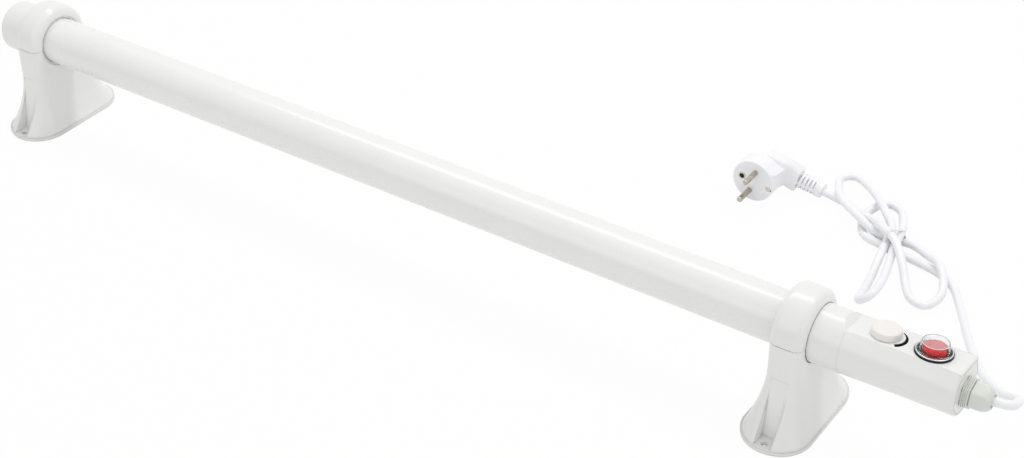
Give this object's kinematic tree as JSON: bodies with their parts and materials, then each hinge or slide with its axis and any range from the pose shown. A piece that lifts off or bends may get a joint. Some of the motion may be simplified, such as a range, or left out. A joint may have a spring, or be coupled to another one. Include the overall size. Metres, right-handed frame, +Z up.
{
  "type": "tubular greenhouse heater",
  "caption": "Slim white heating tube on flared clamp brackets, with a thermostat knob, covered rocker switch and tied mains cord.",
  "frame": {"origin": "centre of the heater's footprint at floor level, cord left out", "axes": "+X along the tube towards the control housing, +Z up, +Y towards the side where the cord lies"},
  "size_m": [0.9369, 0.3519, 0.1095],
  "materials": {
    "white_plastic": "smooth moulded white, semi-gloss",
    "tube_coat": "white powder coat on steel tube",
    "element_steel": "dull stainless sheath",
    "screw_steel": "plain zinc steel",
    "ceramic": "matt cream insulator",
    "black_plastic": "black semi-gloss",
    "brass": "plain bright brass",
    "knob_plastic": "warm cream, satin",
    "red_plastic": "translucent red, lamp behind it",
    "clear_cover": "clear flexible PVC",
    "ring_plastic": "grey clear plastic",
    "seal_rubber": "black seal rubber",
    "gland_plastic": "greenish off-white nylon",
    "cord_plastic": "white flexible PVC, soft sheen",
    "tie_plastic": "white plastic strip"
  },
  "bodies": {
    "heater": {"heating_tube": "tube_coat", "element_hairpin": "element_steel", "element_pins": "element_steel", "left_element_support": "element_steel", "middle_element_support": "element_steel", "right_element_support": "element_steel", "element_bush": "ceramic", "thermal_cutout": "element_steel", "end_cap": "white_plastic", "left_pedestal": "white_plastic", "left_clamp_cap": "white_plastic", "right_pedestal": "white_plastic", "right_clamp_cap": "white_plastic", "clamp_screws": "screw_steel", "control_housing": "white_plastic", "end_plate": "white_plastic", "thermostat_body": "black_plastic", "thermostat_nut": "brass", "switch_body": "black_plastic", "switch_blades": "brass", "switch_cover": "clear_cover", "switch_ring": "ring_plastic", "gland_washer": "gland_plastic", "gland_body": "gland_plastic", "gland_locknut": "gland_plastic", "gland_seal": "seal_rubber", "gland_dome_nut": "gland_plastic", "terminal_block": "ceramic", "terminal_screws": "brass", "plug_body": "cord_plastic", "plug_insert": "cord_plastic", "plug_pins": "brass", "earth_clips": "brass", "earth_socket": "brass", "strain_relief": "cord_plastic", "power_cord": "cord_plastic", "cord_hank": "cord_plastic", "cord_tail": "cord_plastic", "cord_tie": "tie_plastic"},
    "knob": {"thermostat_knob": "knob_plastic", "thermostat_shaft": "screw_steel"},
    "rocker": {"switch_rocker": "red_plastic"}
  },
  "joints": [
    {"name": "knob_turn", "type": "hinge", "parent": "heater", "child": "knob", "pos_m": [0.38, 0.002, 0.09609], "axis": [0, 0.1132, 0.9936], "range_deg": [-270, 0]},
    {"name": "rocker_tilt", "type": "hinge", "parent": "heater", "child": "rocker", "pos_m": [0.415, 0.00191, 0.09529], "axis": [0, 0.9936, -0.1132], "range_deg": [0, 14]}
  ]
}
